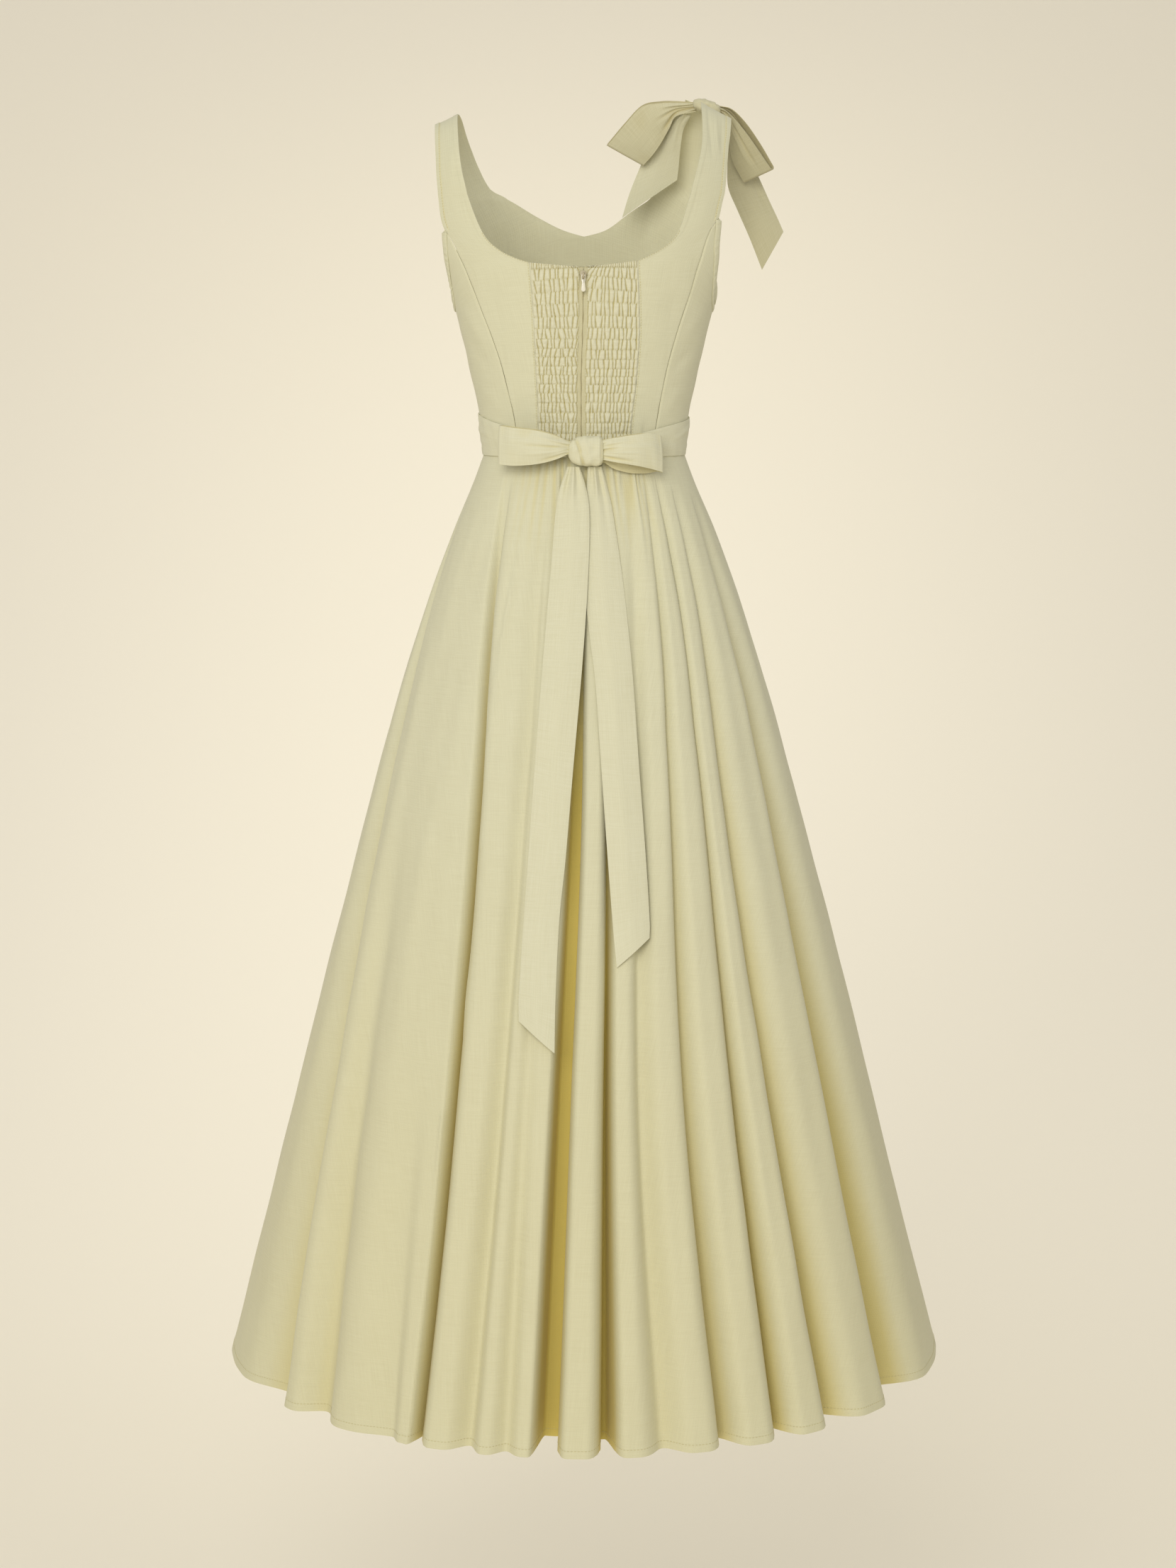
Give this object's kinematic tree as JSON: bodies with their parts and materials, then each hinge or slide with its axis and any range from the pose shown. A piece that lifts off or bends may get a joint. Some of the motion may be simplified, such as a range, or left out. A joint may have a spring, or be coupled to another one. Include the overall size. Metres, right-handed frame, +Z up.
{
  "type": "linen maxi dress",
  "caption": "Sleeveless A-line maxi dress with a smocked zip back, a waist sash tied in a bow and one strap tied in a shoulder bow.",
  "frame": {"origin": "midway between the tops of the two shoulder straps, where the wearer's shoulders hold the dress", "axes": "+Z up; +Y the way the wearer faces, so the zipped back faces -Y; +X towards the wearer's right, the side of the shoulder bow"},
  "size_m": [0.84, 0.7547, 1.4603],
  "materials": {
    "linen": "matte plain weave, pale butter yellow",
    "zip_coil": "woven zip tape with a moulded polyester coil",
    "zip_metal": "cream enamelled zinc"
  },
  "bodies": {
    "dress": {"back_panel_left": "linen", "back_panel_right": "linen", "side_back_left": "linen", "side_back_right": "linen", "smocked_back_left": "linen", "smocked_back_right": "linen", "front_bodice": "linen", "armhole_binding_left": "linen", "armhole_binding_right": "linen", "zip": "zip_coil", "zip_slider": "zip_metal", "skirt_back": "linen", "skirt_front": "linen", "sash": "linen", "waist_knot": "linen", "waist_loop_left": "linen", "waist_loop_right": "linen", "waist_tail_left": "linen", "waist_tail_right": "linen", "shoulder_knot": "linen", "shoulder_loop_in": "linen", "shoulder_loop_out": "linen", "shoulder_tail_in": "linen", "shoulder_tail_out": "linen"},
    "pull_tab": {"zip_pull": "zip_metal"}
  },
  "joints": [
    {"name": "pull_tab_hinge", "type": "hinge", "parent": "dress", "child": "pull_tab", "pos_m": [-0.0006, -0.1022, -0.19], "axis": [-1, 0, 0], "range_deg": [0, 150]}
  ]
}
